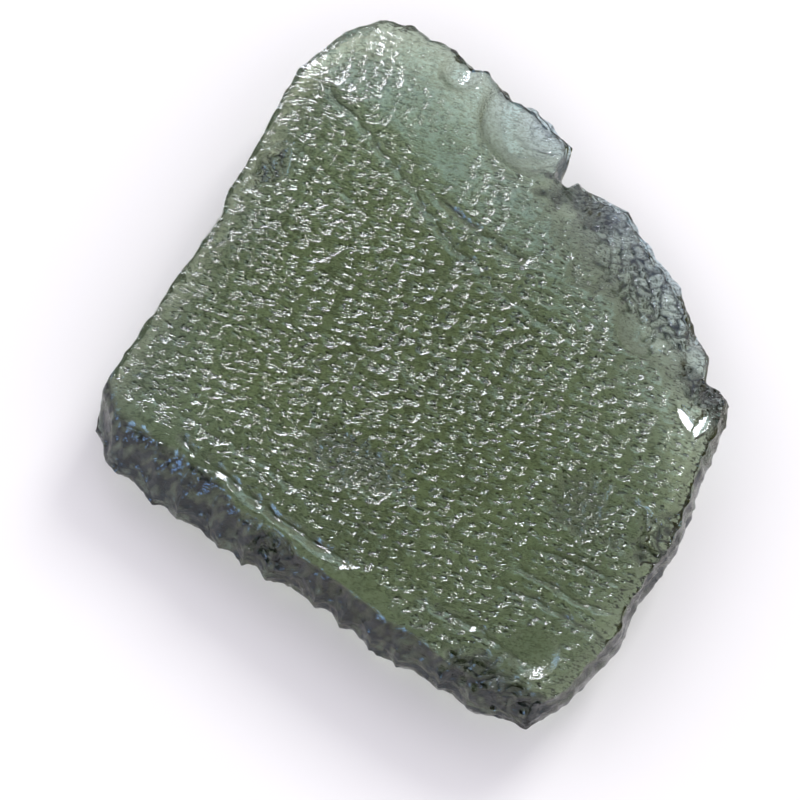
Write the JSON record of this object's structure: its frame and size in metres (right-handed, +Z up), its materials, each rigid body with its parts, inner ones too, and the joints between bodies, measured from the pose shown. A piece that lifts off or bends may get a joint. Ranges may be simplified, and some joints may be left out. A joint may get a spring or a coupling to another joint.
{
  "type": "moldavite",
  "caption": "Natural tile of see-through green impact glass with a pitted upper face, fluted walls and broken corners, lying on a small flat spot.",
  "frame": {"origin": "middle of the stone's footprint in plan, at the height of the surface it rests on", "axes": "+Z up through the tile's thickness, +Y along its longest extent towards the rounded thin corner, +X towards the chipped right-hand corner"},
  "size_m": [0.0316, 0.0368, 0.005],
  "materials": {
    "green_glass": "clear olive-green natural glass, finely pitted and satin-bright on the upper face, rougher and darker on the broken walls"
  },
  "bodies": {
    "root": {"moldavite": "green_glass"}
  },
  "joints": []
}
